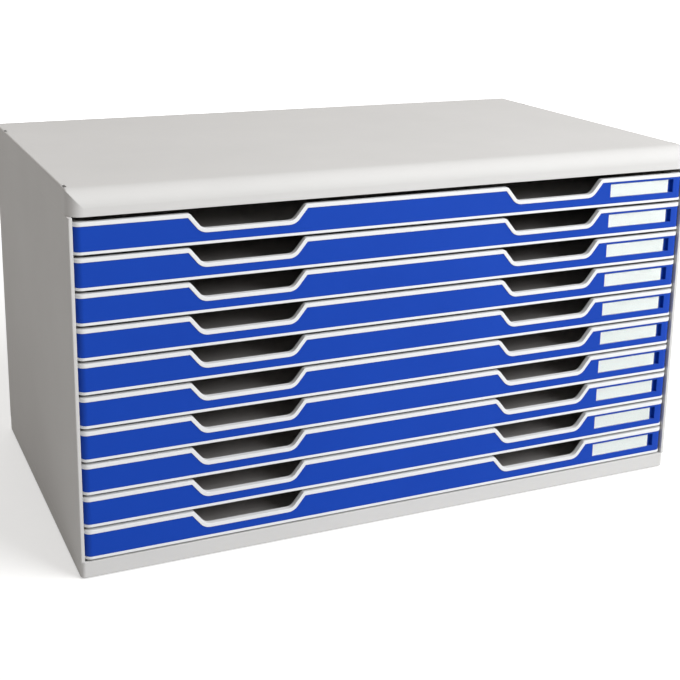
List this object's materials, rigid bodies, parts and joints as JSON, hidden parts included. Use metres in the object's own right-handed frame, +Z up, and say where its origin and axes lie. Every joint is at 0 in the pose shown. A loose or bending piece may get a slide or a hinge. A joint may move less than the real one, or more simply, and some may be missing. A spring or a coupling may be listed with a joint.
{
  "type": "drawer module",
  "caption": "Wide desktop drawer module with shallow sliding trays, blue inlaid fronts, finger cut-outs and label holders in a light grey casing.",
  "frame": {"origin": "middle of the underside, on the table", "axes": "+Z up, the drawers face -Y, +X to the right seen from the front"},
  "size_m": [0.576, 0.33, 0.32],
  "materials": {
    "casing_grey": "moulded, fine satin grain",
    "back_grey": "flat sheet, fine grain",
    "tray_grey": "moulded, satin",
    "front_blue": "moulded, satin gloss",
    "label_card": "uncoated paper card",
    "label_window": "clear plastic strip",
    "screw_steel": "zinc plated",
    "foot_rubber": "matt"
  },
  "bodies": {
    "casing": {"base": "casing_grey", "roof": "casing_grey", "left_side": "casing_grey", "right_side": "casing_grey", "back_panel": "back_grey", "base_screws": "screw_steel", "foot_front_left": "foot_rubber", "foot_front_right": "foot_rubber", "foot_rear_left": "foot_rubber", "foot_rear_right": "foot_rubber"},
    "drawer_01": {"drawer_01_tray": "tray_grey", "drawer_01_front": "front_blue", "drawer_01_label": "label_card", "drawer_01_window": "label_window"},
    "drawer_02": {"drawer_02_tray": "tray_grey", "drawer_02_front": "front_blue", "drawer_02_label": "label_card", "drawer_02_window": "label_window"},
    "drawer_03": {"drawer_03_tray": "tray_grey", "drawer_03_front": "front_blue", "drawer_03_label": "label_card", "drawer_03_window": "label_window"},
    "drawer_04": {"drawer_04_tray": "tray_grey", "drawer_04_front": "front_blue", "drawer_04_label": "label_card", "drawer_04_window": "label_window"},
    "drawer_05": {"drawer_05_tray": "tray_grey", "drawer_05_front": "front_blue", "drawer_05_label": "label_card", "drawer_05_window": "label_window"},
    "drawer_06": {"drawer_06_tray": "tray_grey", "drawer_06_front": "front_blue", "drawer_06_label": "label_card", "drawer_06_window": "label_window"},
    "drawer_07": {"drawer_07_tray": "tray_grey", "drawer_07_front": "front_blue", "drawer_07_label": "label_card", "drawer_07_window": "label_window"},
    "drawer_08": {"drawer_08_tray": "tray_grey", "drawer_08_front": "front_blue", "drawer_08_label": "label_card", "drawer_08_window": "label_window"},
    "drawer_09": {"drawer_09_tray": "tray_grey", "drawer_09_front": "front_blue", "drawer_09_label": "label_card", "drawer_09_window": "label_window"},
    "drawer_10": {"drawer_10_tray": "tray_grey", "drawer_10_front": "front_blue", "drawer_10_label": "label_card", "drawer_10_window": "label_window"}
  },
  "joints": [
    {"name": "drawer_01_slide", "type": "slide", "parent": "casing", "child": "drawer_01", "axis": [0, -1, 0], "range_m": [0, 0.24]},
    {"name": "drawer_02_slide", "type": "slide", "parent": "casing", "child": "drawer_02", "axis": [0, -1, 0], "range_m": [0, 0.24]},
    {"name": "drawer_03_slide", "type": "slide", "parent": "casing", "child": "drawer_03", "axis": [0, -1, 0], "range_m": [0, 0.24]},
    {"name": "drawer_04_slide", "type": "slide", "parent": "casing", "child": "drawer_04", "axis": [0, -1, 0], "range_m": [0, 0.24]},
    {"name": "drawer_05_slide", "type": "slide", "parent": "casing", "child": "drawer_05", "axis": [0, -1, 0], "range_m": [0, 0.24]},
    {"name": "drawer_06_slide", "type": "slide", "parent": "casing", "child": "drawer_06", "axis": [0, -1, 0], "range_m": [0, 0.24]},
    {"name": "drawer_07_slide", "type": "slide", "parent": "casing", "child": "drawer_07", "axis": [0, -1, 0], "range_m": [0, 0.24]},
    {"name": "drawer_08_slide", "type": "slide", "parent": "casing", "child": "drawer_08", "axis": [0, -1, 0], "range_m": [0, 0.24]},
    {"name": "drawer_09_slide", "type": "slide", "parent": "casing", "child": "drawer_09", "axis": [0, -1, 0], "range_m": [0, 0.24]},
    {"name": "drawer_10_slide", "type": "slide", "parent": "casing", "child": "drawer_10", "axis": [0, -1, 0], "range_m": [0, 0.24]}
  ]
}
